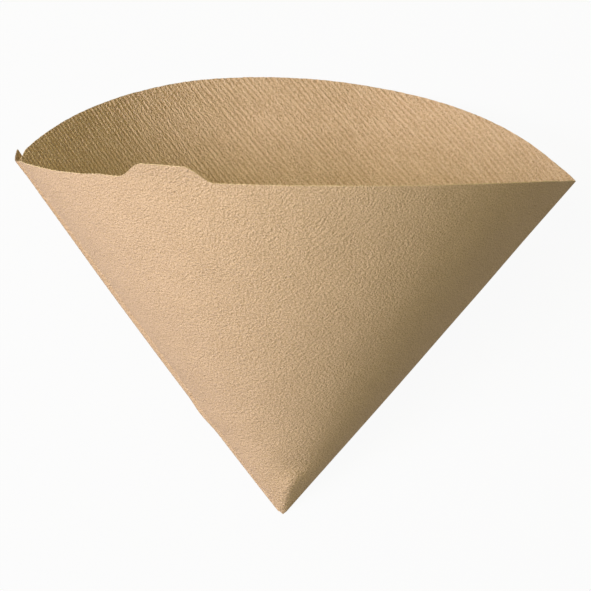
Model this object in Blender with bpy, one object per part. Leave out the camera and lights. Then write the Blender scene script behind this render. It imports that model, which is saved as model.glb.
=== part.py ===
"""Cone-shaped paper coffee filter, opened for use and lying on its back panel.

The filter is one sheet: a flat front panel and a flat back panel meet at a fold on the right and at a
crimped seam on the left. Opened, both panels bow outwards. Every point of a panel lies on a straight line
from the tip, so the paper is bent and never stretched.

Working frame: origin at the tip, +X to the right, +Y from the front panel to the back one, +Z up the middle
of the mouth. Angles on the flat panel are measured at the tip, from the seam to the fold.
"""

import math

import bmesh
import bpy
from mathutils import Matrix, Vector

# Sheet, in metres and radians
SLANT = 0.125
PANEL_ANGLE = math.radians(91)
PAPER = 0.0002
TIP_START = 0.0012
HOLLOW_START = 0.0018

# Bowing of the open panels: turn of the paper for each radian of panel angle, how much less of it there is
# towards the two edges than in the middle, and how much more at the seam than at the fold
FRONT_BOW_RATIO = 1.22
FRONT_EDGE_RATIO = 0.26
FRONT_SEAM_RATIO = 0.17
BACK_EDGE_RATIO = 1.3
BACK_SEAM_RATIO = -0.13
REST_FLAT_FROM_SEAM = math.radians(40)
REST_FLAT_ANGLE = math.radians(11)

# The back panel's rim is cut a little high on the seam's side and as much too low on the fold's side
BACK_RIM_SWAY = 0.0005

# Finger tab on the front panel's rim, along the rim's arc
TAB_MIDDLE_FROM_SEAM = 0.0656
TAB_WIDTH = 0.0272
TAB_HEIGHT = 0.0050
TAB_SEAM_FLANK = 0.0094
TAB_FOLD_FLANK = 0.0072
TAB_START = TAB_MIDDLE_FROM_SEAM - TAB_WIDTH / 2
TAB_END = TAB_MIDDLE_FROM_SEAM + TAB_WIDTH / 2

# Crimped seam: two plies standing out from the seam line, then folded over towards the back panel.
# A heading is the way the strip runs across the seam line: 0 is into the mouth, 90 degrees is backwards.
SEAM_PLIES = 2
SEAM_WIDTH = 0.0050
SEAM_START_HEADING = math.radians(155)
SEAM_END_HEADING = math.radians(75)
SEAM_TIP_BEND_RADIUS = 0.0005
SEAM_MIDDLE_BEND_RADIUS = 0.0031
SEAM_TOP_BEND_RADIUS = 0.0012
SEAM_TRIM_LENGTH = 0.015
SEAM_TOP_RISE = 0.0015

# Resolution of the mesh
COLUMN_STEP = math.radians(1.5)
WALK_STEPS = 4
ROWS = 10
FLANK_COLUMNS = 6
SEAM_COLUMNS = 9


def walk(angles, turn_at, strength):
    """Unit directions and outward normals of a panel, one for each angle.

    The direction starts along X and follows a curve on the unit sphere that turns by strength * turn_at(angle).
    """
    direction, travel = Vector((1, 0, 0)), Vector((0, 1, 0))
    directions, normals = [direction.copy()], [travel.cross(direction)]
    for start, end in zip(angles, angles[1:]):
        step = (end - start) / WALK_STEPS
        for i in range(WALK_STEPS):
            turn = strength * turn_at(start + (i + 0.5) * step)
            axis = direction.cross(travel) + turn * direction
            rotation = Matrix.Rotation(step * axis.length, 3, axis)
            direction = rotation @ direction
            travel = rotation @ travel
        directions.append(direction.copy())
        normals.append(travel.cross(direction))
    return directions, normals


def mouth_angle(directions):
    """Angle at the tip between a panel's two edges."""
    return directions[0].angle(directions[-1])


def strength_for(angles, turn_at, mouth):
    """Strength of bowing at which the panel's edges stand as far apart as the mouth angle."""
    low, high = 0.0, 3.0
    for _ in range(40):
        middle = (low + high) / 2
        wide = mouth_angle(walk(angles, turn_at, middle)[0]) > mouth
        low, high = (middle, high) if wide else (low, middle)
    return low


def turned_to_mouth(directions, normals, side):
    """The panel turned so that its edges lie in the XZ plane, either side of +Z, with its bow towards side * Y."""
    up = (directions[0] + directions[-1]).normalized()
    right = (directions[-1] - directions[0]).normalized()
    back = up.cross(right)
    middle = directions[len(directions) // 2]
    mirror = side if middle.dot(back) > 0 else -side
    basis = Matrix((right, back, up))
    flip = Matrix.Diagonal((1, mirror, 1))
    placed = [flip @ basis @ d for d in directions]
    outward = [flip @ basis @ n for n in normals]
    if outward[len(outward) // 2].y * side < 0:
        outward = [-n for n in outward]
    return placed, outward


def tab_height(angle):
    """How far the rim rises above its arc: a flat-topped tab with rounded shoulders and feet."""
    along = angle * SLANT
    rise = min((along - TAB_START) / TAB_SEAM_FLANK, (TAB_END - along) / TAB_FOLD_FLANK)
    rise = max(0.0, min(1.0, rise))
    return TAB_HEIGHT * rise * rise * (3 - 2 * rise)


def front_slant(angle):
    return SLANT + tab_height(angle)


def back_slant(angle):
    return SLANT + BACK_RIM_SWAY * math.sin(2 * math.pi * angle / PANEL_ANGLE)


def front_turn(angle):
    across = 1 - 2 * angle / PANEL_ANGLE
    return 1 - FRONT_EDGE_RATIO * (across**2 - 1 / 3) + FRONT_SEAM_RATIO * across


def back_turn(angle):
    if REST_FLAT_FROM_SEAM < angle < REST_FLAT_FROM_SEAM + REST_FLAT_ANGLE:
        return 0.0
    across = 1 - 2 * angle / PANEL_ANGLE
    return 1 - BACK_EDGE_RATIO * (across**2 - 1 / 3) + BACK_SEAM_RATIO * across


def column_angles(extra):
    """Even columns from the seam to the fold, with the extra ones in place of those that lie near them."""
    count = round(PANEL_ANGLE / COLUMN_STEP)
    even = [PANEL_ANGLE * i / count for i in range(count + 1)]
    near = 0.3 * COLUMN_STEP
    kept = [a for a in even[1:-1] if all(abs(a - e) > near for e in extra)]
    return sorted([even[0], *kept, *extra, even[-1]])


def tab_columns():
    """Angles at which the tab's flanks need a column of their own."""
    shares = [i / FLANK_COLUMNS for i in range(FLANK_COLUMNS + 1)]
    rising = [TAB_START + TAB_SEAM_FLANK * s for s in shares]
    falling = [TAB_END - TAB_FOLD_FLANK * s for s in shares]
    return [arc / SLANT for arc in rising + falling]


def flat_columns():
    """Angles of the middle and the two edges of the wedge that the filter rests on."""
    return [REST_FLAT_FROM_SEAM + REST_FLAT_ANGLE * share for share in (0.5, 0, 1)]


def meeting_point(a_point, a_way, b_point, b_way):
    """Where two straight lines of a plane meet."""
    gap = b_point - a_point
    share = (gap.x * b_way.y - gap.y * b_way.x) / (a_way.x * b_way.y - a_way.y * b_way.x)
    return a_point + share * a_way


class SeamSection:
    """The seam's section, in the plane across the seam line: x into the mouth, y backwards."""

    def __init__(self, front_way, back_way, seam_line):
        self.line = seam_line
        self.back = Vector((0, 1, 0))
        self.inward = self.back.cross(seam_line)
        front = self.flat(front_way).normalized()
        back = self.flat(back_way).normalized()
        start = Vector((math.cos(SEAM_START_HEADING), math.sin(SEAM_START_HEADING)))
        half_ply = PAPER / 2
        half_strip = SEAM_PLIES * PAPER / 2
        left_of = lambda way: Vector((-way.y, way.x))
        self.inner = meeting_point(left_of(front) * half_ply, front, -left_of(back) * half_ply, back)
        self.front_foot = meeting_point(
            -left_of(front) * half_ply, front, left_of(start) * half_strip, start
        )
        self.back_foot = meeting_point(
            left_of(back) * half_ply, back, -left_of(start) * half_strip, start
        )

    def flat(self, vector):
        return Vector((vector.dot(self.inward), vector.dot(self.back)))

    def place(self, distance, point):
        return self.line * distance + self.inward * point.x + self.back * point.y


def seam_bend_radius(distance):
    """Radius of the strip's bend: a parabola through its values at the tip, the middle and the top."""
    up = distance / SLANT
    rise = SEAM_TOP_BEND_RADIUS - SEAM_TIP_BEND_RADIUS
    straight = SEAM_TIP_BEND_RADIUS + rise * up
    bulge = SEAM_MIDDLE_BEND_RADIUS - SEAM_TIP_BEND_RADIUS - rise / 2
    return straight + 4 * bulge * up * (1 - up)


def seam_path(share, distance):
    """Middle of the strip and its heading, at a share of its width and a distance from the tip.

    Towards the tip the strip is trimmed to a point.
    """
    along = share * SEAM_WIDTH * min(1.0, distance / SEAM_TRIM_LENGTH)
    radius = seam_bend_radius(distance)
    bend_turn = SEAM_START_HEADING - SEAM_END_HEADING
    heading = SEAM_START_HEADING - min(along / radius, bend_turn)
    straight = max(0.0, along - bend_turn * radius)
    x = radius * (math.sin(SEAM_START_HEADING) - math.sin(heading))
    y = radius * (math.cos(heading) - math.cos(SEAM_START_HEADING))
    way = Vector((math.cos(heading), math.sin(heading)))
    return Vector((x, y)) + way * straight, way


def seam_sides(section, row_share):
    """Points along the strip's outer side, then along its inner side, for one row."""
    half_strip = SEAM_PLIES * PAPER / 2
    outer, inner = [], []
    for i in range(1, SEAM_COLUMNS + 1):
        share = i / SEAM_COLUMNS
        top = SLANT + SEAM_TOP_RISE * share
        distance = TIP_START + (top - TIP_START) * row_share
        middle, way = seam_path(share, distance)
        side = Vector((-way.y, way.x)) * half_strip
        outer.append(section.place(distance, middle + side))
        inner.append(section.place(distance, middle - side))
    return outer, inner


def mitre(normal_a, normal_b):
    """Offset of one paper half-thickness from two faces that meet at a fold."""
    middle = (normal_a + normal_b).normalized()
    return middle * (PAPER / 2) / middle.dot(normal_a)


def build_sheet():
    """One closed mesh: an outer skin with the seam's strip on it, an inner skin, the rim and the closed tip."""
    front_angles = column_angles(tab_columns())
    back_angles = column_angles(flat_columns())
    front = walk(front_angles, front_turn, FRONT_BOW_RATIO)
    mouth = mouth_angle(front[0])
    back = walk(back_angles, back_turn, strength_for(back_angles, back_turn, mouth))
    front_ways, front_normals = turned_to_mouth(*front, side=-1)
    back_ways, back_normals = turned_to_mouth(*back, side=1)
    section = SeamSection(
        front_ways[1] - front_ways[0], back_ways[1] - back_ways[0], front_ways[0]
    )
    half = PAPER / 2
    fold_offset = mitre(front_normals[-1], back_normals[-1])
    columns = [(w, half * n, front_slant(a)) for a, w, n in zip(front_angles, front_ways, front_normals)]
    columns = columns[1:-1] + [(front_ways[-1], fold_offset, SLANT)]
    returning = list(zip(back_angles, back_ways, back_normals))[-2:0:-1]
    columns += [(w, half * n, back_slant(a)) for a, w, n in returning]

    mesh = bmesh.new()
    rings = {"outer": [], "inner": []}
    for row in range(ROWS + 1):
        share = (row / ROWS) ** 1.5
        at = TIP_START + (SLANT - TIP_START) * share
        strip_out, strip_in = seam_sides(section, share)
        outer = [section.place(at, section.front_foot)]
        outer += [w * (TIP_START + (top - TIP_START) * share) + off for w, off, top in columns]
        outer += [section.place(at, section.back_foot), *strip_in, *reversed(strip_out)]
        at = HOLLOW_START + (SLANT - HOLLOW_START) * share
        inner = [section.place(at, section.inner)]
        inner += [w * (HOLLOW_START + (top - HOLLOW_START) * share) - off for w, off, top in columns]
        rings["outer"].append([mesh.verts.new(p) for p in outer])
        rings["inner"].append([mesh.verts.new(p) for p in inner])
    for ring in rings.values():
        for lower, upper in zip(ring, ring[1:]):
            bridge(mesh, lower, upper)
    close_rim(mesh, rings["outer"][-1], rings["inner"][-1])
    close_tip(mesh, rings["outer"][0], Vector((0, 0, 0)))
    close_tip(mesh, rings["inner"][0], Vector((0, 0, TIP_START)))
    bmesh.ops.recalc_face_normals(mesh, faces=mesh.faces)
    rest = back_angles.index(flat_columns()[0])
    return mesh, back_ways[rest], back_normals[rest]


def bridge(mesh, lower, upper):
    for i, corner in enumerate(lower):
        j = (i + 1) % len(lower)
        mesh.faces.new((corner, lower[j], upper[j], upper[i]))


def close_rim(mesh, outer, inner):
    """The paper's cut edge, round the mouth and across the seam strip's end."""
    count = len(inner)
    for i in range(count - 1):
        mesh.faces.new((outer[i], outer[i + 1], inner[i + 1], inner[i]))
    mesh.faces.new((outer[count - 1], outer[count], inner[0], inner[count - 1]))
    mesh.faces.new((outer[count], outer[0], inner[0]))
    strip = [outer[count], *outer[count + 1 :], outer[0]]
    for i in range(len(strip) // 2 - 1):
        mesh.faces.new((strip[i], strip[i + 1], strip[-2 - i], strip[-1 - i]))


def close_tip(mesh, ring, point):
    tip = mesh.verts.new(point)
    for i, corner in enumerate(ring):
        mesh.faces.new((corner, ring[(i + 1) % len(ring)], tip))


def paper_material():
    material = bpy.data.materials.new("unbleached_paper")
    material.use_nodes = True
    shader = material.node_tree.nodes["Principled BSDF"]
    shader.inputs["Base Color"].default_value = (0.62, 0.43, 0.26, 1)
    shader.inputs["Roughness"].default_value = 0.95
    shader.inputs["Metallic"].default_value = 0
    return material


def lying_on(rest_way, rest_normal):
    """Rotation that lays the rest line along +Y with the paper's outside down."""
    up = -rest_normal
    along = rest_way.normalized()
    return Matrix((along.cross(up), along, up)).to_4x4()


def main():
    for obj in list(bpy.data.objects):
        bpy.data.objects.remove(obj)
    collection = bpy.data.collections.new("paper_coffee_filter")
    bpy.context.scene.collection.children.link(collection)
    sheet, rest_way, rest_normal = build_sheet()
    data = bpy.data.meshes.new("paper_filter")
    sheet.to_mesh(data)
    sheet.free()
    data.materials.append(paper_material())
    paper_filter = bpy.data.objects.new("paper_filter", data)
    collection.objects.link(paper_filter)
    rotation = lying_on(rest_way, rest_normal)
    points = [rotation @ v.co for v in data.vertices]
    low = Vector(min(p[i] for p in points) for i in range(3))
    high = Vector(max(p[i] for p in points) for i in range(3))
    foot = Vector(((low.x + high.x) / 2, (low.y + high.y) / 2, low.z))
    paper_filter.matrix_world = Matrix.Translation(-foot) @ rotation
    data.shade_smooth()
    data.set_sharp_from_angle(angle=math.radians(30))


main()
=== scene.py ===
import math

import bmesh
import bpy
import numpy as np
from mathutils import Matrix, Vector


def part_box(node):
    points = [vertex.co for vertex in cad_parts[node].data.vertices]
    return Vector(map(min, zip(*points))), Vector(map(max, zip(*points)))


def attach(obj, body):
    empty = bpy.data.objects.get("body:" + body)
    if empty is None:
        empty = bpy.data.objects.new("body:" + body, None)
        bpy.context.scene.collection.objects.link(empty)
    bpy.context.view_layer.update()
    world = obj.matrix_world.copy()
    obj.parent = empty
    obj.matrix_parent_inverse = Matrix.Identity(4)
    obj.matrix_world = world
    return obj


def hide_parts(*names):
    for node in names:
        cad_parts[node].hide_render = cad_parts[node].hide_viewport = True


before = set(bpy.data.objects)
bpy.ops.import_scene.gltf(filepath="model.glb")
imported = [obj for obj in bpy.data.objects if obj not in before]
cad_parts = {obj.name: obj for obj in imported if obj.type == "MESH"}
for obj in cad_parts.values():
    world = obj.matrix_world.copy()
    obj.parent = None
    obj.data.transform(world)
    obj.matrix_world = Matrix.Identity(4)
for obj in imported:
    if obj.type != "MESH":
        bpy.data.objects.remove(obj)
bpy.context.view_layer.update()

MM = 0.001

# The sheet: the same named sizes as the solid, in metres and radians
SLANT = 0.125
PANEL_ANGLE = math.radians(91)
PAPER = 0.0002
TIP_START = 0.0012
HOLLOW_START = 0.0018
FRONT_BOW_RATIO = 1.22
FRONT_EDGE_RATIO = 0.26
FRONT_SEAM_RATIO = 0.17
BACK_EDGE_RATIO = 1.3
BACK_SEAM_RATIO = -0.13
REST_FLAT_FROM_SEAM = math.radians(40)
REST_FLAT_ANGLE = math.radians(11)
TAB_MIDDLE_FROM_SEAM = 0.0656
TAB_WIDTH = 0.0272
TAB_HEIGHT = 0.0050
TAB_SEAM_FLANK = 0.0094
TAB_FOLD_FLANK = 0.0072
SEAM_PLIES = 2
SEAM_WIDTH = 0.0050
SEAM_START_HEADING = math.radians(155)
SEAM_END_HEADING = math.radians(75)
SEAM_TIP_BEND_RADIUS = 0.0005
SEAM_MIDDLE_BEND_RADIUS = 0.0031
SEAM_TOP_BEND_RADIUS = 0.0012
SEAM_TRIM_LENGTH = 0.015

# The top of the seam's strip stands a little higher here than on the solid, and flares outwards
SEAM_TOP_RISE = 0.0020
SEAM_FLARE = 0.0003
SEAM_FLARE_LENGTH = 0.006

# The angle over which each panel's way out of the seam is measured
SEAM_CHORD_ANGLE = math.radians(1.5)

# Small departures of the cut rims from their arcs, as (degrees from the seam, millimetres outwards), and of
# the two sides from straight lines, as (share of the slant, millimetres outwards)
FRONT_RIM_KNOTS = (
    (0, -0.3),
    (6, -0.05),
    (12.5, -0.6),
    (18, -0.35),
    (21.5, 0.3),
    (26, 0.1),
    (35, -0.2),
    (42, 0),
    (91, 0),
)
BACK_RIM_KNOTS = ((0, -0.3), (2.5, 0.7), (28, 0.62), (47, -0.6), (67, -0.14), (85, -0.62), (91, 0))
SEAM_SIDE_KNOTS = ((0, 0.2), (0.24, 0.12), (0.3, 0.75), (0.35, 0.3), (0.6, 0.2), (0.85, 0))
FOLD_SIDE_KNOTS = ((0, 0.2), (0.38, 0.45), (0.65, 0.28), (0.87, 0))

# The ragged cut of the rims: its height, its cells across and along the rim, where along the noise a rim
# starts, and the angle over which the cut turns ragged beside the seam and the fold
RAGGED_HEIGHT = 0.06 * MM
RAGGED_ACROSS = 20 * MM
RAGGED_CELL = 0.8 * MM
RAGGED_FROM = -0.1
RAGGED_FADE = math.radians(2)
FRONT_RIM_SEED = 61
BACK_RIM_SEED = 62

# A crease of the front panel that rises from the tip, bends towards the fold and fades. The paper is flat on
# both sides of it, as far as its spread reaches.
CREASE_ANGLE = math.radians(49)
CREASE_DRIFT = math.radians(12)
CREASE_SPREAD = math.radians(24)
CREASE_LENGTH = 22 * MM

# How far the middle of the front panel swells out, as a share of the distance from the tip
FRONT_SWELL = 0.03

# How finely the skins are divided
ANGLE_STEP = math.radians(0.1)
RIB_STEP = 0.31 * MM
OUTER_STEP = 0.62 * MM
INNER_ALONG = 1.45 * MM
OUTER_ALONG = 1.6 * MM
SEAM_ALONG = 0.5 * MM
RIM_STEP = 1.2 * MM
RIM_SAMPLES = 4000
STRIP_COLUMNS = 12

# Rows of vertices are counted from the tip. They start below it, because the fold leans past a right angle,
# and keep this share of their spacing from both ends of a rib line.
FIRST_ROW = -2
CLEAR_END = 0.45

# Search by halving, and the strongest bend that it considers
HALVINGS = 40
STRONGEST_BEND = 3.0

# Where noise on the flat blank starts, how far it reaches, and its spare cells beyond that
NOISE_FROM = (-0.015, -0.145)
NOISE_REACH = (0.16, 0.30)
NOISE_SPARE = 8

# Crepe: ribs run along the seam's direction, at an even distance from each other
RIB_PERIOD = 1.31 * MM
RIB_TILT = math.tan(math.radians(2.7))
RIB_LEVEL = 0.85
INNER_RIB = 0.125 * MM
OUTER_PEBBLE = 0.05 * MM

# Layers of noise on the blank, as (seed, height, millimetres across and along the ribs): how the ribs sway in
# periods, how their level varies, how rough they are, the slow waves of the paper, and the outside's pebbles
SWAY_LAYERS = ((40, 0.3, 11, 32), (41, 0.06, 3.1, 6.5))
LEVEL_LAYERS = ((42, 0.45, 1.5, 3.6), (43, 0.2, 12, 18))
ROUGH_LAYERS = ((44, 0.5, 0.75, 2.4),)
WAVE_LAYERS = ((31, 0.22 * MM, 24, 30), (32, 0.07 * MM, 8, 11))
PEBBLE_LAYERS = ((52, 1.0, 1.3, 1.6),)

# The waves grow to their full height over these distances from the fold and from the seam
WAVE_FROM_FOLD = 14 * MM
WAVE_FROM_SEAM = 10 * MM

# Crimps of the seam's strip. They grow over a length from the tip, rise by a share of their pitch across the
# strip, and end before its free edge, by this factor.
CRIMP_PITCH = 1.7 * MM
CRIMP_HEIGHT = 0.03 * MM
CRIMP_LENGTH = 20 * MM
CRIMP_SLOPE = 0.35
CRIMP_EARLY = 1.04

# Painted shade on the seam's strip: full at its flared top, and below that by a share that falls towards the
# tip as a power of the distance from it
STRIP_PAINTED_SHADE = 0.8
STRIP_PAINTED_SHADE_POWER = 1.5

# The mesh's materials, by their index
PAPER_MATERIAL = 0
EDGE_MATERIAL = 1

# Colours of the paper
PAPER_LIGHT = (0.76, 0.525, 0.315, 1)
PAPER_DARK = (0.71, 0.485, 0.285, 1)
# Paler and deeper tones of the paper, also used as painted highlight and painted shade
PAPER_PALE_TONE_AND_HIGHLIGHT = (0.90, 0.66, 0.43, 1)
PAPER_DEEP_TONE_AND_SHADE = (0.52, 0.33, 0.17, 1)
PAPER_FLECK = (0.40, 0.24, 0.12, 1)
# The cut edge's colours: paler than the faces, and lighter still as a painted highlight of the lit rims
EDGE_LIGHT = (0.95, 0.74, 0.44, 1)
EDGE_DARK = (0.84, 0.61, 0.35, 1)

# Noises of the materials, as millimetres across and along the ribs, shift, turn in degrees, detail, roughness
# and distortion
PAPER_NOISES = {
    "grain": (0.46, 0.46, 0, 0, 2.0, 0.65, 0),
    "speckle": (0.34, 0.34, 31, 0, 0, 0.5, 0),
    "pebble": (0.8, 0.85, 7, 0, 1.5, 0.55, 0),
    "crinkle": (0.42, 0.8, 3, 0, 2.0, 0.6, 0),
    "cloud": (7.0, 9.0, 11, 0, 3.0, 0.55, 0),
    "fibres": (0.22, 2.2, 5, 35, 1.0, 0.5, 0.6),
    "flecks": (0.5, 0.7, 23, 0, 0, 0.5, 0),
}
EDGE_NOISE = (0.35, 0.35, 3, 0, 2.0, 0.6, 0)

# Values of the slow noises between which the darker paper turns into the lighter
CLOUD_RANGE = (0.3, 0.7)

# Tints over that, in order: what drives each, where it starts and is full, its share when full, its colour,
# and whether it is on the inside only
PAPER_TINTS = (
    ("grain", 0.4, 0.72, 0.6, PAPER_PALE_TONE_AND_HIGHLIGHT, False),
    ("grain", 0.52, 0.28, 0.6, PAPER_DEEP_TONE_AND_SHADE, False),
    ("speckle", 0.5, 0.7, 0.65, PAPER_PALE_TONE_AND_HIGHLIGHT, False),
    ("speckle", 0.48, 0.3, 0.55, PAPER_DEEP_TONE_AND_SHADE, False),
    ("crinkle", 0.52, 0.28, 0.6, PAPER_DEEP_TONE_AND_SHADE, True),
    ("crinkle", 0.5, 0.7, 0.6, PAPER_PALE_TONE_AND_HIGHLIGHT, True),
    # Painted shade in the ribs' hollows and painted highlight on their crests
    ("ridge", 0.3, -1.2, 0.45, PAPER_DEEP_TONE_AND_SHADE, True),
    ("ridge", 0.0, 1.3, 0.6, PAPER_PALE_TONE_AND_HIGHLIGHT, True),
    ("fibres", 0.66, 0.74, 0.22, PAPER_PALE_TONE_AND_HIGHLIGHT, False),
    ("flecks", 0.76, 0.84, 0.4, PAPER_FLECK, False),
)
# Share of the deeper tone that the seam strip's painted shade mixes in, where it is full
STRIP_SHADE_TINT = 0.6

# Roughness of the paper where its grain is low and high, and how glossy it and its cut edge are
GRAIN_RANGE = (0.2, 0.8)
PAPER_ROUGHNESS = (0.96, 0.84)
PAPER_GLOSS = 0.25
EDGE_ROUGHNESS = 0.97
EDGE_GLOSS = 0.2

# Heights of the finest relief, which is in the materials, as multiples of one height
BUMP_HEIGHT = 0.12 * MM
GRAIN_BUMP = 2.4
PEBBLE_BUMP = 2.8
CRINKLE_BUMP = 5.5

# Faces that meet at more than this angle aren't shaded as one smooth surface
SHARP_ANGLE = math.radians(50)

# Two round soft lights left of the camera, as (name, degrees to the right of the camera and upwards,
# distance, level, colour), and a fill from all round
KEY_AIM = Vector((0, 0, 0.04))
KEY_DIAMETER = 0.4
KEYS = (
    ("side_key", -45, 0, 1.1, 0.92, (0.795, 0.77, 1.0)),
    ("front_key", -15, 12, 1.1, 0.385, (1.0, 0.985, 0.54)),
)
FILL_COLOUR = (0.98, 1.0, 0.76, 1)
FILL_LEVEL = 0.22

# White floor: its glow is the share that shows white to the camera whatever falls on it, which keeps its
# shadow faint
FLOOR_REACH = 2.5
FLOOR_COLOUR = (0.5, 0.5, 0.5, 1)
FLOOR_GLOW = 0.94

# The photograph's camera, in the row frame
CAMERA_AT = Vector((-0.02137, -0.06160, 0.62769))
CAMERA_RIGHT = Vector((0.99826, 0.04077, 0.04251))
CAMERA_UP = Vector((-0.04466, 0.99448, 0.09492))
CAMERA_LENS = 135.37
CAMERA_CLIP_START = 0.01


def smooth(t):
    """Smooth step from 0 to 1 while t goes from 0 to 1."""
    t = np.clip(t, 0, 1)
    return t * t * (3 - 2 * t)


def stepped(knots, place):
    """Height at a place between knots of (place, height), with a smooth step from each knot to the next."""
    height = knots[0][1]
    for (start, low), (end, high) in zip(knots, knots[1:]):
        height = height + (high - low) * smooth((place - start) / (end - start))
    return height


def halved(low, high, holds):
    """Place between low and high up to which something holds."""
    for _ in range(HALVINGS):
        middle = (low + high) / 2
        low, high = (middle, high) if holds(middle) else (low, middle)
    return (low + high) / 2


class Noise:
    """Smooth noise on the flat blank, between about -1 and 1."""

    def __init__(self, seed, across, along):
        self.cells = (across, along)
        counts = [int(reach / cell) + NOISE_SPARE for reach, cell in zip(NOISE_REACH, self.cells)]
        self.grid = np.random.default_rng(seed).uniform(-1, 1, counts)

    def __call__(self, x, y):
        gx = (x - NOISE_FROM[0]) / self.cells[0] + 1
        gy = (y - NOISE_FROM[1]) / self.cells[1] + 1
        ix = np.clip(np.floor(gx).astype(int), 0, self.grid.shape[0] - 2)
        iy = np.clip(np.floor(gy).astype(int), 0, self.grid.shape[1] - 2)
        fx = smooth(gx - ix)
        fy = smooth(gy - iy)
        g = self.grid
        low = g[ix, iy] * (1 - fx) + g[ix + 1, iy] * fx
        high = g[ix, iy + 1] * (1 - fx) + g[ix + 1, iy + 1] * fx
        return low * (1 - fy) + high * fy


def layered(layers, u, w):
    """Sum of layers of noise."""
    return sum(height * Noise(seed, across * MM, along * MM)(u, w) for seed, height, across, along in layers)


def front_turn(angle):
    """How sharply the front panel bends at an angle from the seam, next to its average."""
    across = 1 - 2 * angle / PANEL_ANGLE
    return 1 - FRONT_EDGE_RATIO * (across**2 - 1 / 3) + FRONT_SEAM_RATIO * across


def back_turn(angle):
    """The same for the back panel, which is flat where the filter rests on it."""
    if REST_FLAT_FROM_SEAM < angle < REST_FLAT_FROM_SEAM + REST_FLAT_ANGLE:
        return 0.0
    across = 1 - 2 * angle / PANEL_ANGLE
    return 1 - BACK_EDGE_RATIO * (across**2 - 1 / 3) + BACK_SEAM_RATIO * across


def walk(turn_at, strength):
    """Unit directions and normals of a panel at even angles from one edge to the other."""
    count = round(PANEL_ANGLE / ANGLE_STEP)
    step = PANEL_ANGLE / count
    direction = Vector((1, 0, 0))
    travel = Vector((0, 1, 0))
    directions = [direction.copy()]
    normals = [travel.cross(direction)]
    for i in range(count):
        axis = direction.cross(travel) + strength * turn_at((i + 0.5) * step) * direction
        rotation = Matrix.Rotation(step * axis.length, 3, axis)
        direction = rotation @ direction
        travel = rotation @ travel
        directions.append(direction.copy())
        normals.append(travel.cross(direction))
    return directions, normals


def strength_for(turn_at, mouth):
    """How strongly a panel bends when its edges are the mouth's angle apart."""

    def too_wide(strength):
        directions = walk(turn_at, strength)[0]
        return directions[0].angle(directions[-1]) > mouth

    return halved(0.0, STRONGEST_BEND, too_wide)


def turned_to_mouth(directions, normals, side):
    """The panel turned so that its edges lie in the XZ plane, either side of +Z, and it bows to side * Y."""
    up = (directions[0] + directions[-1]).normalized()
    right = (directions[-1] - directions[0]).normalized()
    back = up.cross(right)
    middle = directions[len(directions) // 2]
    mirror = side if middle.dot(back) > 0 else -side
    turn = Matrix.Diagonal((1, mirror, 1)) @ Matrix((right, back, up))
    placed = [turn @ d for d in directions]
    outward = [turn @ n for n in normals]
    if outward[len(outward) // 2].y * side < 0:
        outward = [-n for n in outward]
    return np.array(placed), np.array(outward)


class Panel:
    """One panel as a bent, unstretched surface, with a direction and an outward normal at each angle."""

    def __init__(self, directions, normals):
        self.angles = np.linspace(0, PANEL_ANGLE, len(directions))
        self.directions = directions
        self.normals = normals

    def at(self, table, angle):
        values = np.stack([np.interp(angle, self.angles, table[:, i]) for i in range(3)], -1)
        return values / np.linalg.norm(values, axis=-1, keepdims=True)


def tab_height(angle):
    past = angle * SLANT - TAB_MIDDLE_FROM_SEAM
    seam_side = (TAB_WIDTH / 2 + past) / TAB_SEAM_FLANK
    fold_side = (TAB_WIDTH / 2 - past) / TAB_FOLD_FLANK
    return TAB_HEIGHT * smooth(np.minimum(seam_side, fold_side))


def cut_rim(knots, seed, tab=0.0):
    """A panel's rim as a function of the angle: its arc, tab, departures and ragged cut."""
    angles = np.linspace(0, PANEL_ANGLE, RIM_SAMPLES)
    away = smooth(angles / RAGGED_FADE) * smooth((PANEL_ANGLE - angles) / RAGGED_FADE)
    cut = Noise(seed, RAGGED_ACROSS, RAGGED_CELL)(0 * angles, angles * SLANT + RAGGED_FROM)
    departures = stepped(knots, np.degrees(angles)) * MM + RAGGED_HEIGHT * away * cut
    slants = SLANT + tab_height(angles) * tab + departures
    return lambda angle: np.interp(angle, angles, slants)


def meeting_point(a_point, a_way, b_point, b_way):
    gap = b_point - a_point
    share = (gap.x * b_way.y - gap.y * b_way.x) / (a_way.x * b_way.y - a_way.y * b_way.x)
    return a_point + share * a_way


def left_of(way):
    return Vector((-way.y, way.x))


class SeamSection:
    """The seam's section, in the plane across the seam line: x into the mouth, y backwards."""

    def __init__(self, front_way, back_way, seam_line):
        self.line = seam_line
        self.back = Vector((0, 1, 0))
        self.inward = self.back.cross(seam_line)
        front = self.flat(front_way).normalized()
        back = self.flat(back_way).normalized()
        start = Vector((math.cos(SEAM_START_HEADING), math.sin(SEAM_START_HEADING)))
        front_shift = left_of(front) * PAPER / 2
        back_shift = left_of(back) * PAPER / 2
        strip_shift = left_of(start) * SEAM_PLIES * PAPER / 2
        self.inner = meeting_point(front_shift, front, -back_shift, back)
        self.front_foot = meeting_point(-front_shift, front, strip_shift, start)
        self.back_foot = meeting_point(back_shift, back, -strip_shift, start)

    def flat(self, vector):
        return Vector((vector.dot(self.inward), vector.dot(self.back)))

    def place(self, distance, point):
        return self.line * distance + self.inward * point.x + self.back * point.y


def seam_bend_radius(distance):
    """Radius of the strip's bend: a parabola through its values at the tip, the middle and the top."""
    up = distance / SLANT
    rise = SEAM_TOP_BEND_RADIUS - SEAM_TIP_BEND_RADIUS
    straight = SEAM_TIP_BEND_RADIUS + rise * up
    bulge = SEAM_MIDDLE_BEND_RADIUS - SEAM_TIP_BEND_RADIUS - rise / 2
    return straight + 4 * bulge * up * (1 - up)


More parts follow.
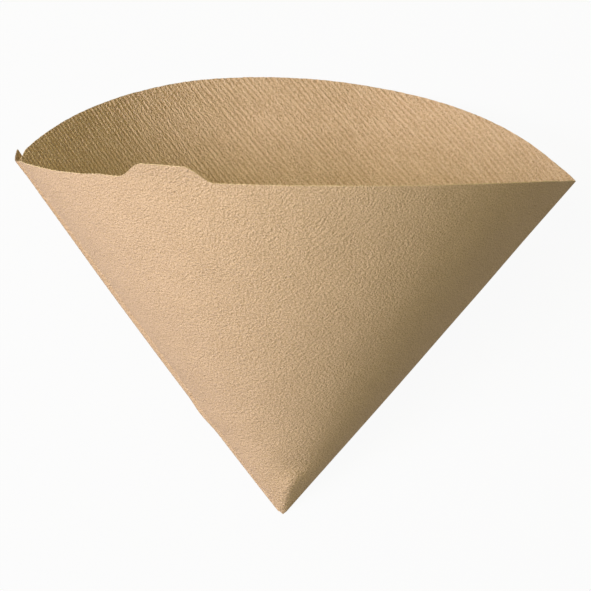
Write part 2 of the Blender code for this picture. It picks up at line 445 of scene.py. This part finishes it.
def seam_path(share, distance):
    """Middle of the strip's section at a share of its width, its way there, and how far along it that is."""
    along = share * SEAM_WIDTH * min(1.0, (distance - TIP_START / 2) / SEAM_TRIM_LENGTH)
    radius = seam_bend_radius(distance)
    bend_turn = SEAM_START_HEADING - SEAM_END_HEADING
    heading = SEAM_START_HEADING - min(along / radius, bend_turn)
    straight = max(0.0, along - bend_turn * radius)
    x = radius * (math.sin(SEAM_START_HEADING) - math.sin(heading))
    y = radius * (math.cos(heading) - math.cos(SEAM_START_HEADING))
    way = Vector((math.cos(heading), math.sin(heading)))
    return Vector((x, y)) + way * straight, way, along


class Skin:
    """Vertices and faces of the sheet.

    Each vertex also keeps its place on the flat blank, how far the relief lifts it, its ridge value (about -1
    in the hollows and 1 on the ridges), whether it is on the inside, and its share of painted shade.
    """

    def __init__(self):
        self.points = []
        self.blank = []
        self.lifts = []
        self.ridge = []
        self.inner = []
        self.painted_strip_shade = []
        self.faces = []
        self.materials = []
        self.side = 0.0
        self.painting_strip_shade = 0.0

    def add(self, point, blank, lift=(0.0, 0.0, 0.0), ridge=0.0):
        self.points.append(tuple(point))
        self.blank.append(tuple(blank))
        self.lifts.append(tuple(lift))
        self.ridge.append(float(ridge))
        self.inner.append(self.side)
        self.painted_strip_shade.append(self.painting_strip_shade)
        return len(self.points) - 1

    def face(self, corners, material=PAPER_MATERIAL):
        self.faces.append(tuple(corners))
        self.materials.append(material)

    def zip(self, left, right, material=PAPER_MATERIAL):
        """Triangles between two chains of (vertex, place along) that run the same way."""
        i = j = 0
        while i < len(left) - 1 or j < len(right) - 1:
            go_left = j == len(right) - 1 or (i < len(left) - 1 and left[i + 1][1] <= right[j + 1][1])
            if go_left:
                self.face((left[i][0], right[j][0], left[i + 1][0]), material)
                i += 1
            else:
                self.face((left[i][0], right[j][0], right[j + 1][0]), material)
                j += 1

    def quads(self, near, far):
        """Faces between two rows with as many vertices."""
        for j in range(len(near) - 1):
            self.face((near[j], far[j], far[j + 1], near[j + 1]))

    def fan(self, arc, point):
        for a, b in zip(arc, arc[1:]):
            self.face((a, b, point))


def rim_angle_at(rim, u):
    """Angle at which the rim is the distance u from the seam line."""
    return halved(0.0, PANEL_ANGLE, lambda angle: rim(angle) * math.sin(angle) < u)


def rib_lines(step, start):
    """Distances from the seam line, one at the start radius on the fold and one at the fold's upper end."""
    near = start * math.sin(PANEL_ANGLE)
    far = SLANT * math.sin(PANEL_ANGLE)
    inner = np.linspace(0, near, max(2, round(near / step) + 1))
    outer = np.linspace(near, far, round((far - near) / step) + 1)
    return np.concatenate([inner, outer[1:]]), len(inner) - 1


def panel_lattice(rim, step, along, start):
    """Each rib line's distance from the seam, its places and its rim angle, and the fold's first line."""
    lines, fold_from = rib_lines(step, start)
    lattice = []
    for k, u in enumerate(lines):
        if k < fold_from:
            low = math.sqrt(start**2 - u**2)
        else:
            low = u / math.tan(PANEL_ANGLE)
        last = k == len(lines) - 1
        high_angle = PANEL_ANGLE if last else rim_angle_at(rim, u)
        high = low if last else rim(high_angle) * math.cos(high_angle)
        gap = SEAM_ALONG if k == 0 else along
        shift = gap / 2 * (k % 2)
        count = int((high - shift) / gap) + 1
        places = [shift + gap * i for i in range(FIRST_ROW, count + 1)]
        places = [v for v in places if low + CLEAR_END * gap < v < high - CLEAR_END * gap]
        ends = [low] if last else [low, high]
        lattice.append((u, sorted(places + ends), high_angle))
    return lattice, fold_from


def extra_rim(angle_a, angle_b):
    """Rim angles strictly between two rib lines' ends, where they are far apart."""
    count = math.ceil((angle_b - angle_a) * SLANT / RIM_STEP)
    return [angle_a + (angle_b - angle_a) * i / count for i in range(1, count)]


def bent(panel, blank_side, u, v, offset, relief):
    """For each point of a panel's skin: itself, its place on the blank, its lift and its ridge value."""
    radius = np.hypot(u, v)
    angle = np.arctan2(u, v)
    w = blank_side * (v - u / math.tan(PANEL_ANGLE))
    normal = panel.at(panel.normals, angle)
    at = panel.at(panel.directions, angle) * radius[:, None] + normal * offset
    height, ridge = relief(u, w)
    return list(zip(at, np.stack([u, w], -1), normal * height[:, None], ridge))


def ribs(u, w):
    """Crepe ribs on the blank: broken, uneven waves at an even period."""
    turns = (u - RIB_TILT * np.abs(w)) / RIB_PERIOD + layered(SWAY_LAYERS, u, w)
    level = RIB_LEVEL + layered(LEVEL_LAYERS, u, w)
    return np.sin(2 * math.pi * turns) * level + layered(ROUGH_LAYERS, u, w)


def polar(u, w):
    """Distance from the tip and angle from the seam, of places on the blank."""
    v = np.abs(w) + u / math.tan(PANEL_ANGLE)
    return np.hypot(u, v), np.arctan2(u, v)


def crease(u, w):
    """Height of the soft crease that runs up the front panel from the tip."""
    distance, angle = polar(u, w)
    ridge = CREASE_ANGLE + CREASE_DRIFT * (distance / CREASE_LENGTH) ** 3
    reach = np.clip(CREASE_SPREAD - np.abs(angle - ridge), 0, CREASE_SPREAD)
    fade = smooth(2 * (1 - distance / CREASE_LENGTH))
    return np.where(w > 0, FRONT_BOW_RATIO * reach**2 / 2 * distance * fade, 0)


def swell(u, w):
    """Height of the front panel's swelling between the seam, the fold, the tip and the rim."""
    distance, angle = polar(u, w)
    across = np.sin(math.pi * np.clip(angle / PANEL_ANGLE, 0, 1))
    along = np.sin(math.pi * np.clip(distance / SLANT, 0, 1))
    return np.where(w > 0, FRONT_SWELL * distance * across * along, 0)


def waves(u, w):
    """Slow unevenness of the paper, the same on both of its sides.

    It fades out at the seam, at the fold and on the wedge that the filter rests on.
    """
    angle = polar(u, w)[1]
    from_rest = np.abs(angle - REST_FLAT_FROM_SEAM - REST_FLAT_ANGLE / 2) / REST_FLAT_ANGLE - 0.5
    away = smooth(np.abs(w) / WAVE_FROM_FOLD) * smooth(u / WAVE_FROM_SEAM)
    away = away * np.where(w > 0, 1, smooth(from_rest))
    return away * layered(WAVE_LAYERS, u, w) + crease(u, w) + swell(u, w)


def inner_relief(u, w):
    crepe = ribs(u, w)
    return waves(u, w) - INNER_RIB * crepe, crepe


def outer_relief(u, w):
    pebbles = layered(PEBBLE_LAYERS, u, w)
    return waves(u, w) + OUTER_PEBBLE * pebbles, pebbles


def add_panel(skin, panel, side, rim, layer, fold, fold_offset, seam_points):
    """One skin of one panel.

    layer is the skin's step across the ribs and along them, its start radius, its offset from the middle of
    the paper and its relief. fold has the fold's vertices where the other panel has made them, and
    seam_points makes or finds those on the seam line. Returns the vertices of the fold, the seam line, the
    rim and the start arc, each from the seam or the tip on, and the seam line's places.
    """
    step, along, start, offset, relief = layer

    def shaped(u, v):
        return bent(panel, -side, u, v, offset, relief)

    lattice, fold_from = panel_lattice(rim, step, along, start)
    chains, rim_points, arc, own_fold, seam = [], [], [], {}, []
    previous_angle = 0.0
    for k, (u, places, high_angle) in enumerate(lattice):
        v = np.array(places)
        vertices = shaped(np.full(len(v), u), v)
        made = {}
        if k >= fold_from:
            if k in fold:
                made[0] = fold[k]
            else:
                radius = math.hypot(u, places[0])
                made[0] = skin.add(panel.directions[-1] * radius + fold_offset, (u, 0.0))
            own_fold[k] = made[0]
        if k == 0:
            made = dict(enumerate(seam_points(v, -side)))
        ids = [made[i] if i in made else skin.add(*vertex) for i, vertex in enumerate(vertices)]
        chain = list(zip(ids, v))
        if k:
            extra = []
            for angle in extra_rim(previous_angle, high_angle):
                at_u = np.array([rim(angle) * math.sin(angle)])
                at_v = np.array([rim(angle) * math.cos(angle)])
                extra.append((skin.add(*shaped(at_u, at_v)[0]), at_v[0], angle))
            skin.zip(chains[-1], chain + [(point, at) for point, at, _ in reversed(extra)])
            rim_points += [(point, angle) for point, _, angle in extra]
        rim_points.append((ids[-1], high_angle))
        if k <= fold_from:
            arc.append(ids[0])
        if k == 0:
            seam = ids
        chains.append(chain)
        previous_angle = high_angle
    return {"fold": own_fold, "seam": seam, "rim": rim_points, "arc": arc, "seam_v": lattice[0][1]}


def strip_row(skin, section, share, v):
    """The front and back vertex of the strip at a share of its width and a place on the seam line."""
    row_share = (v - TIP_START) / (SLANT - TIP_START)
    top = SLANT + SEAM_TOP_RISE * share
    distance = TIP_START + (top - TIP_START) * row_share
    middle, way, along = seam_path(share, distance)
    near_top = float(smooth(1 + (distance - SLANT) / SEAM_FLARE_LENGTH))
    middle = middle - Vector((SEAM_FLARE * near_top * math.sin(math.pi * share), 0))
    fade = math.sin(math.pi * min(1.0, share * CRIMP_EARLY)) * min(1.0, distance / CRIMP_LENGTH)
    crimp = CRIMP_HEIGHT * fade * math.sin(2 * math.pi * (distance / CRIMP_PITCH + CRIMP_SLOPE * share))
    half_strip = left_of(way) * SEAM_PLIES * PAPER / 2
    lift = section.place(0, left_of(way) * crimp)
    # The strip's painted shade, full at its flared top
    skin.painting_strip_shade = max(near_top, STRIP_PAINTED_SHADE * (distance / SLANT) ** STRIP_PAINTED_SHADE_POWER)
    front = skin.add(section.place(distance, middle + half_strip), (-along, v), lift)
    back = skin.add(section.place(distance, middle - half_strip), (-along, -v), lift)
    skin.painting_strip_shade = 0.0
    return front, back


def add_strip(skin, section, seam_v, front_seam, back_seam):
    """The seam's two plies, as one strip with a front and a back face and a free edge."""
    fronts, backs = [front_seam], [back_seam]
    for i in range(1, STRIP_COLUMNS + 1):
        row = [strip_row(skin, section, i / STRIP_COLUMNS, v) for v in seam_v]
        fronts.append([front for front, _ in row])
        backs.append([back for _, back in row])
    for columns in (fronts, backs):
        for near, far in zip(columns, columns[1:]):
            skin.quads(near, far)
    skin.quads(fronts[-1], backs[-1])
    for end in (-1, 0):
        skin.quads([column[end] for column in fronts], [column[end] for column in backs])


def mitre(normal_a, normal_b, half):
    """From a fold's middle line to where two sheets' faces meet, half a thickness from their middles."""
    middle = (normal_a + normal_b) / np.linalg.norm(normal_a + normal_b)
    return middle * half / middle.dot(normal_a)


def lying_on(rest_way, rest_normal):
    """Rotation that lays the rest line along +Y with the paper's outside down."""
    up = -rest_normal
    along = rest_way.normalized()
    return Matrix((along.cross(up), along, up))


def build_sheet():
    """The skin of the sheet with its tip at the origin, the mouth's angle and the turn that lays it down."""
    front_rim = cut_rim(FRONT_RIM_KNOTS, FRONT_RIM_SEED, tab=1.0)
    back_rim = cut_rim(BACK_RIM_KNOTS, BACK_RIM_SEED)
    front_walk = walk(front_turn, FRONT_BOW_RATIO)
    mouth = front_walk[0][0].angle(front_walk[0][-1])
    back_walk = walk(back_turn, strength_for(back_turn, mouth))
    front = Panel(*turned_to_mouth(*front_walk, side=-1))
    back = Panel(*turned_to_mouth(*back_walk, side=1))
    chord = round(SEAM_CHORD_ANGLE / ANGLE_STEP)
    section = SeamSection(
        Vector(front.directions[chord] - front.directions[0]),
        Vector(back.directions[chord] - back.directions[0]),
        Vector(front.directions[0]),
    )
    skin = Skin()
    corner = mitre(front.normals[-1], back.normals[-1], PAPER / 2)
    outside = (OUTER_STEP, OUTER_ALONG, TIP_START, PAPER / 2, outer_relief)
    inside = (RIB_STEP, INNER_ALONG, HOLLOW_START, -PAPER / 2, inner_relief)

    def feet(point):
        def make(places, blank_side):
            return [skin.add(section.place(v, point), (0.0, blank_side * v)) for v in places]
        return make

    outer_front = add_panel(skin, front, -1, front_rim, outside, {}, corner, feet(section.front_foot))
    outer_back = add_panel(
        skin, back, 1, back_rim, outside, outer_front["fold"], corner, feet(section.back_foot)
    )
    skin.side = 1.0
    inner_front = add_panel(skin, front, -1, front_rim, inside, {}, -corner, feet(section.inner))
    inner_back = add_panel(
        skin, back, 1, back_rim, inside, inner_front["fold"], -corner, lambda *_: inner_front["seam"]
    )
    skin.side = 0.0
    add_strip(skin, section, outer_front["seam_v"], outer_front["seam"], outer_back["seam"])
    skin.zip(outer_front["rim"], inner_front["rim"], EDGE_MATERIAL)
    skin.zip(outer_back["rim"], inner_back["rim"], EDGE_MATERIAL)
    seam_top = (outer_front["seam"][-1], outer_back["seam"][-1], inner_front["seam"][-1])
    skin.face(seam_top, EDGE_MATERIAL)
    tip = skin.add((0, 0, 0), (0, 0))
    skin.fan(outer_front["arc"], tip)
    skin.fan(outer_back["arc"], tip)
    skin.face((outer_front["seam"][0], outer_back["seam"][0], tip))
    skin.side = 1.0
    hollow = skin.add((0, 0, TIP_START), (0, 0))
    skin.fan(inner_front["arc"], hollow)
    skin.fan(inner_back["arc"], hollow)
    rest = np.array([REST_FLAT_FROM_SEAM + REST_FLAT_ANGLE / 2])
    way = Vector(back.at(back.directions, rest)[0])
    normal = Vector(back.at(back.normals, rest)[0])
    return skin, mouth, lying_on(way, normal)


def bulged(points, mouth):
    """The sheet with its two sides moved outwards by their knots, and what lies between them less."""
    distance = np.linalg.norm(points, axis=1)
    half_width = np.maximum(distance * math.sin(mouth / 2), PAPER)
    across = points[:, 0] / half_width
    share = distance / SLANT
    outwards = np.where(across > 0, stepped(FOLD_SIDE_KNOTS, share), stepped(SEAM_SIDE_KNOTS, share)) * MM
    shift = np.zeros_like(points)
    shift[:, 0] = outwards * np.clip(across, -1, 1)
    return points + shift


def seen_directly(nodes, links):
    """1 for rays from the camera, and for those that it sees in glossy or clear things."""
    path = nodes.new("ShaderNodeLightPath")
    value = path.outputs["Is Camera Ray"]
    for name in ("Is Glossy Ray", "Is Transmission Ray"):
        either = nodes.new("ShaderNodeMath")
        either.operation = "MAXIMUM"
        links.new(value, either.inputs[0])
        links.new(path.outputs[name], either.inputs[1])
        value = either.outputs[0]
    return value


class Nodes:
    """A new material, with short ways to add nodes to it."""

    def __init__(self, name):
        self.material = bpy.data.materials.new(name)
        self.material.use_nodes = True
        self.nodes = self.material.node_tree.nodes
        self.links = self.material.node_tree.links
        self.shader = self.nodes["Principled BSDF"]

    def put(self, socket, value):
        if hasattr(value, "is_linked"):
            self.links.new(value, socket)
        else:
            socket.default_value = value

    def surface(self, colour, roughness, gloss):
        self.put(self.shader.inputs["Base Color"], colour)
        self.put(self.shader.inputs["Roughness"], roughness)
        self.put(self.shader.inputs["Specular IOR Level"], gloss)

    def maths(self, operation, a, b):
        node = self.nodes.new("ShaderNodeMath")
        node.operation = operation
        self.put(node.inputs[0], a)
        self.put(node.inputs[1], b)
        return node.outputs[0]

    def attribute(self, name):
        node = self.nodes.new("ShaderNodeAttribute")
        node.attribute_name = name
        return node.outputs["Fac"]

    def noise(self, across, along, shift, turn, detail, roughness, distortion):
        """Noise on the flat blank, with features of the sizes across and along the ribs, in millimetres."""
        place = self.nodes.new("ShaderNodeUVMap")
        place.uv_map = "blank"
        mapping = self.nodes.new("ShaderNodeMapping")
        self.links.new(place.outputs[0], mapping.inputs["Vector"])
        mapping.inputs["Location"].default_value = (shift, shift, 0)
        mapping.inputs["Rotation"].default_value = (0, 0, math.radians(turn))
        mapping.inputs["Scale"].default_value = (1 / (across * MM), 1 / (along * MM), 1)
        node = self.nodes.new("ShaderNodeTexNoise")
        node.noise_dimensions = "2D"
        self.links.new(mapping.outputs[0], node.inputs["Vector"])
        node.inputs["Scale"].default_value = 1.0
        node.inputs["Detail"].default_value = detail
        node.inputs["Roughness"].default_value = roughness
        node.inputs["Distortion"].default_value = distortion
        return node.outputs["Fac"]

    def span(self, value, low, high, out_low=0.0, out_high=1.0):
        node = self.nodes.new("ShaderNodeMapRange")
        node.interpolation_type = "SMOOTHSTEP"
        self.put(node.inputs["Value"], value)
        node.inputs["From Min"].default_value = low
        node.inputs["From Max"].default_value = high
        node.inputs["To Min"].default_value = out_low
        node.inputs["To Max"].default_value = out_high
        return node.outputs["Result"]

    def mix(self, share, a, b):
        node = self.nodes.new("ShaderNodeMix")
        node.data_type = "RGBA"
        colour_a, colour_b = [socket for socket in node.inputs if socket.type == "RGBA"]
        self.put(node.inputs["Factor"], share)
        self.put(colour_a, a)
        self.put(colour_b, b)
        return next(socket for socket in node.outputs if socket.type == "RGBA")


def paper_material():
    """Unbleached crepe paper: fibre clouds, fine grain, flecks, and a crinkle over the modelled ribs, with
    painted shade in the ribs' hollows and on the seam's strip, and painted highlight on the ribs' crests.
    """
    n = Nodes("unbleached_crepe_paper")
    inside = n.attribute("inner")
    drivers = {name: n.noise(*values) for name, values in PAPER_NOISES.items()}
    drivers["ridge"] = n.attribute("ridge")

    base = n.mix(n.span(drivers["cloud"], *CLOUD_RANGE), PAPER_DARK, PAPER_LIGHT)
    for driver, start, full, most, colour, inside_only in PAPER_TINTS:
        share = n.span(drivers[driver], start, full, 0.0, most)
        if inside_only:
            share = n.maths("MULTIPLY", inside, share)
        base = n.mix(share, base, colour)
    # Painted shade on the seam's strip
    base = n.mix(n.maths("MULTIPLY", n.attribute("painted_strip_shade"), STRIP_SHADE_TINT), base, PAPER_DEEP_TONE_AND_SHADE)
    n.surface(base, n.span(drivers["grain"], *GRAIN_RANGE, *PAPER_ROUGHNESS), PAPER_GLOSS)

    fine = n.maths("MULTIPLY", drivers["grain"], GRAIN_BUMP)
    outer = n.maths("MULTIPLY", drivers["pebble"], PEBBLE_BUMP)
    inner = n.maths("MULTIPLY", drivers["crinkle"], CRINKLE_BUMP)
    inner_change = n.maths("MULTIPLY", inside, n.maths("SUBTRACT", inner, outer))
    height = n.maths("ADD", n.maths("ADD", fine, outer), inner_change)
    bump = n.nodes.new("ShaderNodeBump")
    bump.inputs["Strength"].default_value = 1.0
    bump.inputs["Distance"].default_value = BUMP_HEIGHT
    n.links.new(height, bump.inputs["Height"])
    n.links.new(bump.outputs["Normal"], n.shader.inputs["Normal"])
    return n.material


def edge_material():
    """The paper's cut edge, paler and fluffier than its faces, and lighter still as a painted highlight."""
    n = Nodes("cut_paper_edge")
    colour = n.mix(n.span(n.noise(*EDGE_NOISE), *CLOUD_RANGE), EDGE_DARK, EDGE_LIGHT)
    n.surface(colour, EDGE_ROUGHNESS, EDGE_GLOSS)
    return n.material


def floor_material():
    n = Nodes("white_floor")
    n.surface(FLOOR_COLOUR, 1.0, 0.0)
    glow = n.nodes.new("ShaderNodeEmission")
    mix = n.nodes.new("ShaderNodeMixShader")
    n.links.new(n.maths("MULTIPLY", seen_directly(n.nodes, n.links), FLOOR_GLOW), mix.inputs[0])
    n.links.new(n.shader.outputs[0], mix.inputs[1])
    n.links.new(glow.outputs[0], mix.inputs[2])
    n.links.new(mix.outputs[0], n.nodes["Material Output"].inputs["Surface"])
    return n.material


def keep_values(data, skin):
    """Gives the mesh what the paper's material reads: three values a vertex, and the place on the blank."""
    for name, values in (("inner", skin.inner), ("ridge", skin.ridge), ("painted_strip_shade", skin.painted_strip_shade)):
        attribute = data.attributes.new(name, "FLOAT", "POINT")
        attribute.data.foreach_set("value", np.array(values, dtype=np.float32))
    layer = data.uv_layers.new(name="blank")
    loops = np.zeros(len(data.loops), dtype=np.int32)
    data.loops.foreach_get("vertex_index", loops)
    blank = np.array(skin.blank, dtype=np.float32)[loops]
    layer.uv.foreach_set("vector", blank.ravel())


def make_filter():
    """The filter, laid down inside the solid's box: its fold at the right end and its tip at the near end."""
    skin, mouth, turn = build_sheet()
    turn = np.array(turn)
    plain = np.array(skin.points)
    box_low, box_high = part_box("paper_filter")
    tip = np.array([box_high[0] - (plain @ turn.T)[:, 0].max(), box_low[1], PAPER / 2])
    points = (bulged(plain, mouth) + np.array(skin.lifts)) @ turn.T + tip
    data = bpy.data.meshes.new("paper_filter_sheet")
    data.from_pydata(points.tolist(), [], skin.faces)
    data.polygons.foreach_set("material_index", skin.materials)
    mesh = bmesh.new()
    mesh.from_mesh(data)
    bmesh.ops.recalc_face_normals(mesh, faces=mesh.faces)
    mesh.to_mesh(data)
    mesh.free()
    data.materials.append(paper_material())
    data.materials.append(edge_material())
    keep_values(data, skin)
    data.update()
    piece = bpy.data.objects.new("paper_filter_sheet", data)
    bpy.context.scene.collection.objects.link(piece)
    data.shade_smooth()
    data.set_sharp_from_angle(angle=SHARP_ANGLE)
    return piece


def make_floor():
    corners = [(x * FLOOR_REACH, y * FLOOR_REACH, 0) for x, y in ((-1, -1), (1, -1), (1, 1), (-1, 1))]
    data = bpy.data.meshes.new("floor")
    data.from_pydata(corners, [], [(0, 1, 2, 3)])
    data.materials.append(floor_material())
    floor = bpy.data.objects.new("floor", data)
    bpy.context.scene.collection.objects.link(floor)
    return floor


def make_key(name, rightwards, upwards, distance, level, colour):
    """A round lamp that shows a white surface facing it, at the aim, as bright as the level."""
    light = bpy.data.lights.new(name, "AREA")
    light.shape = "DISK"
    light.size = KEY_DIAMETER
    light.color = colour
    light.energy = level * math.pi**2 * distance**2
    lamp = bpy.data.objects.new(name, light)
    right, up = CAMERA_RIGHT.normalized(), CAMERA_UP.normalized()
    turn, rise = math.radians(rightwards), math.radians(upwards)
    level_way = right * math.sin(turn) + right.cross(up) * math.cos(turn)
    way = level_way * math.cos(rise) + up * math.sin(rise)
    facing = way.to_track_quat("Z", "Y").to_matrix().to_4x4()
    lamp.matrix_world = Matrix.Translation(KEY_AIM + way * distance) @ facing
    lamp.visible_camera = False
    bpy.context.scene.collection.objects.link(lamp)


def make_world():
    """The fill, which the camera sees as plain white."""
    world = bpy.data.worlds.new("studio")
    bpy.context.scene.world = world
    world.use_nodes = True
    nodes, links = world.node_tree.nodes, world.node_tree.links
    fill = nodes["Background"]
    fill.inputs["Color"].default_value = FILL_COLOUR
    fill.inputs["Strength"].default_value = FILL_LEVEL
    white = nodes.new("ShaderNodeBackground")
    white.inputs["Color"].default_value = (1, 1, 1, 1)
    white.inputs["Strength"].default_value = 1.0
    mix = nodes.new("ShaderNodeMixShader")
    links.new(seen_directly(nodes, links), mix.inputs[0])
    links.new(fill.outputs[0], mix.inputs[1])
    links.new(white.outputs[0], mix.inputs[2])
    links.new(mix.outputs[0], nodes["World Output"].inputs["Surface"])


def make_camera():
    camera = bpy.data.cameras.new("camera")
    camera.lens = CAMERA_LENS
    camera.clip_start = CAMERA_CLIP_START
    placed = bpy.data.objects.new("camera", camera)
    right, up = CAMERA_RIGHT.normalized(), CAMERA_UP.normalized()
    turn = Matrix((right, up, right.cross(up))).transposed().to_4x4()
    placed.matrix_world = Matrix.Translation(CAMERA_AT) @ turn
    bpy.context.scene.collection.objects.link(placed)
    bpy.context.scene.camera = placed


bpy.context.scene.view_settings.view_transform = "Standard"
make_camera()
for key in KEYS:
    make_key(*key)
make_world()
floor = make_floor()
sheet = make_filter()
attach(sheet, "root")
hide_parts("paper_filter")
